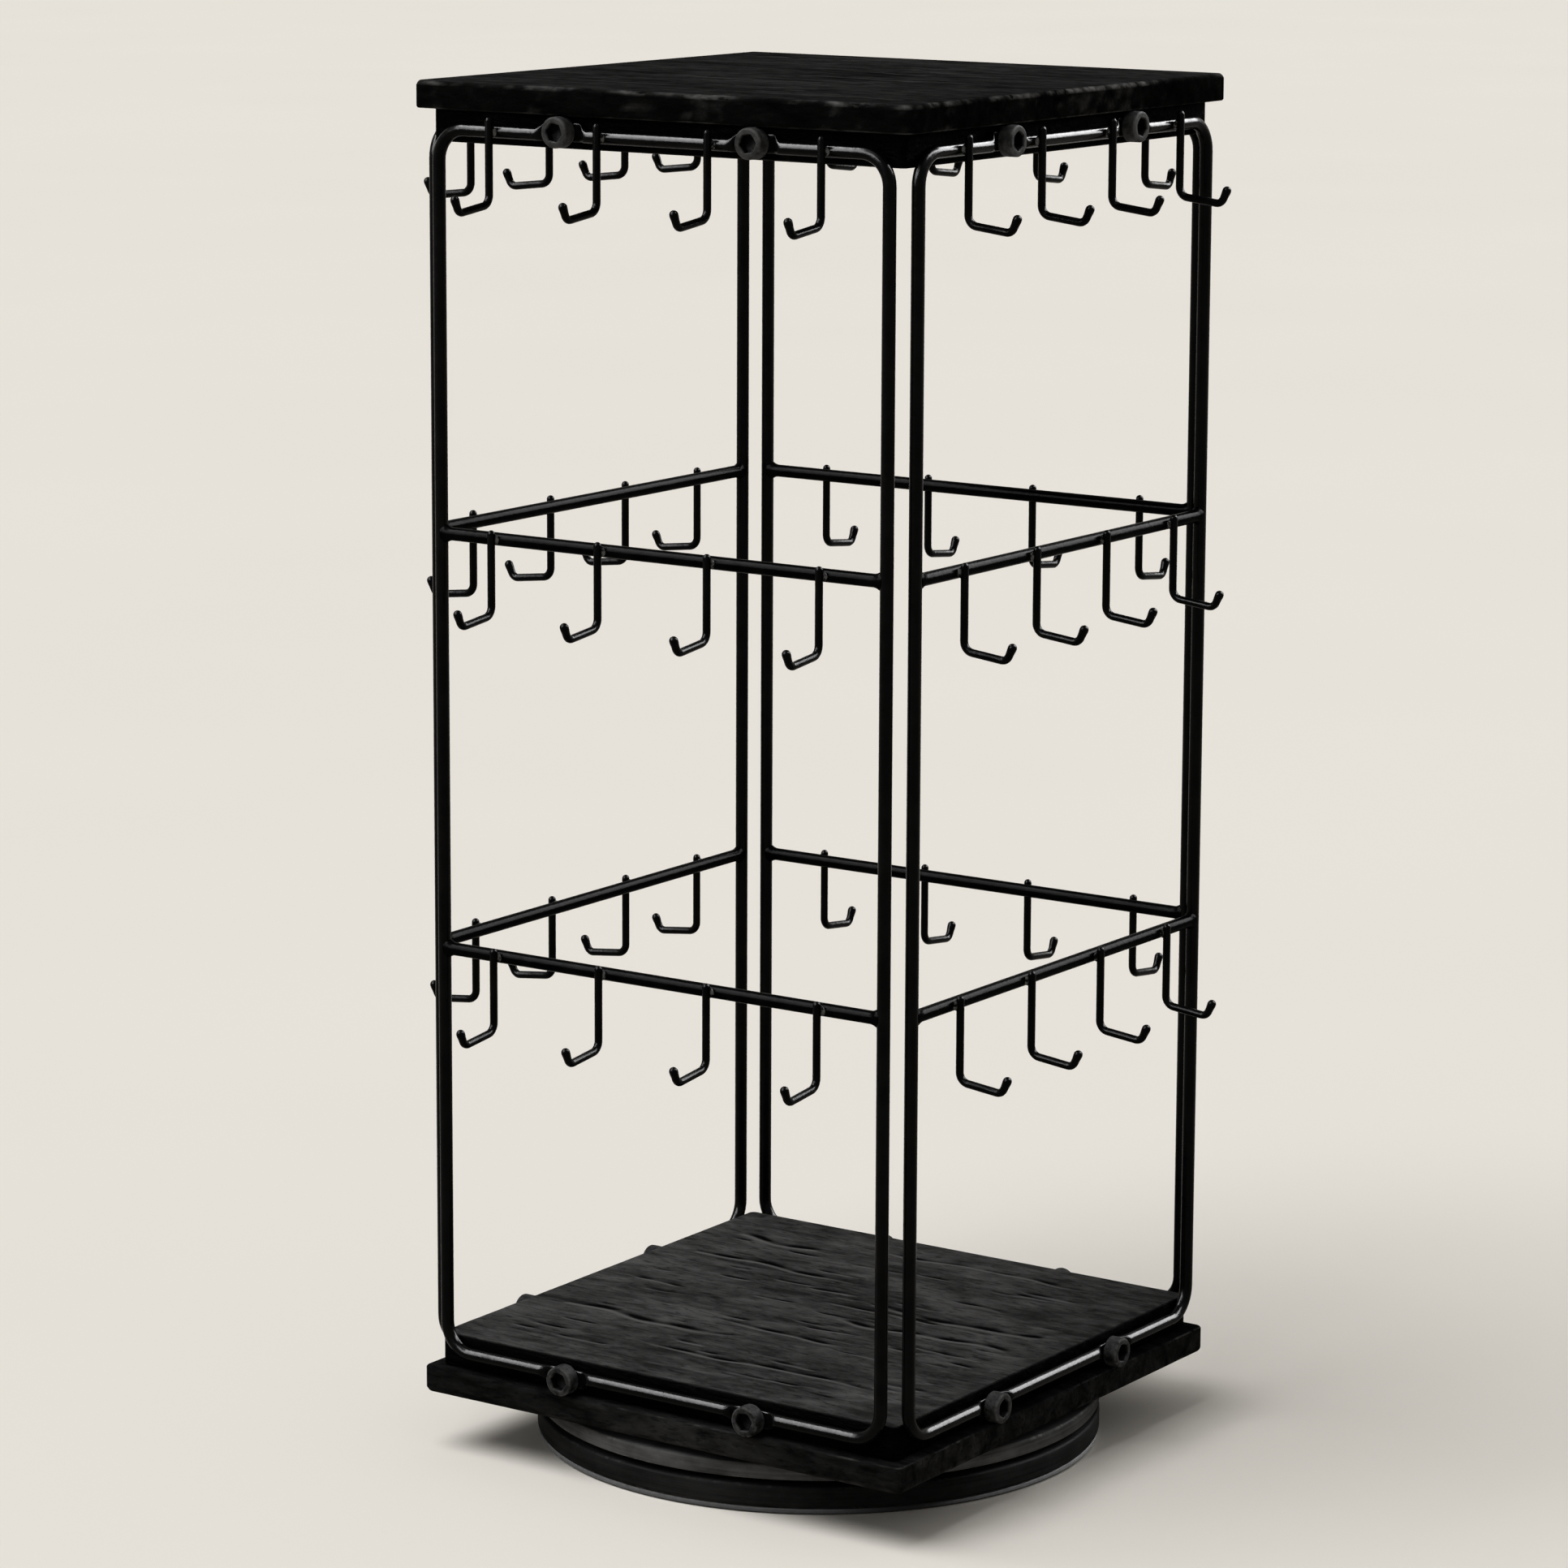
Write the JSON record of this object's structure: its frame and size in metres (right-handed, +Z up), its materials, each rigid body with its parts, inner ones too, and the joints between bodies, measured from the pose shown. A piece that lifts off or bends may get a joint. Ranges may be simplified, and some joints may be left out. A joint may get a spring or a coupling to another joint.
{
  "type": "earring display stand",
  "caption": "Revolving earring stand: square black wood base and top joined by four wire frames with rows of wire hooks, on a round turntable.",
  "frame": {"origin": "on the turning axis, at the height of the table that the rubber mat rests on", "axes": "+Z up along the turning axis, -Y out of the front side, +X out of the right side"},
  "size_m": [0.1942, 0.1942, 0.3829],
  "materials": {
    "black_wood": "black stain over open grain, satin",
    "black_disc": "black painted board, satin",
    "black_wire": "gloss black coated steel wire",
    "screw_metal": "dark nickel, hex socket head",
    "mat_rubber": "matt black",
    "glide_nylon": "natural nylon",
    "zinc_steel": "zinc plated",
    "pad_foam": "closed-cell foam tape"
  },
  "bodies": {
    "turntable_foot": {"nonslip_mat": "mat_rubber", "foot_disc": "black_disc", "glide_pads": "glide_nylon", "pivot_bolt": "zinc_steel", "lock_nut": "zinc_steel"},
    "turning_stand": {"turn_disc": "black_disc", "base_board": "black_wood", "base_block": "black_wood", "top_board": "black_wood", "top_block": "black_wood", "front_frame": "black_wire", "right_frame": "black_wire", "back_frame": "black_wire", "left_frame": "black_wire", "front_mid_bar": "black_wire", "front_low_bar": "black_wire", "right_mid_bar": "black_wire", "right_low_bar": "black_wire", "back_mid_bar": "black_wire", "back_low_bar": "black_wire", "left_mid_bar": "black_wire", "left_low_bar": "black_wire", "front_top_hooks": "black_wire", "front_mid_hooks": "black_wire", "front_low_hooks": "black_wire", "right_top_hooks": "black_wire", "right_mid_hooks": "black_wire", "right_low_hooks": "black_wire", "back_top_hooks": "black_wire", "back_mid_hooks": "black_wire", "back_low_hooks": "black_wire", "left_top_hooks": "black_wire", "left_mid_hooks": "black_wire", "left_low_hooks": "black_wire", "top_frame_screws": "screw_metal", "base_frame_screws": "screw_metal", "foam_pads": "pad_foam"}
  },
  "joints": [
    {"name": "turntable_spin", "type": "hinge", "parent": "turntable_foot", "child": "turning_stand", "pos_m": [0, 0, 0.0095], "axis": [0, 0, 1], "continuous": true}
  ]
}
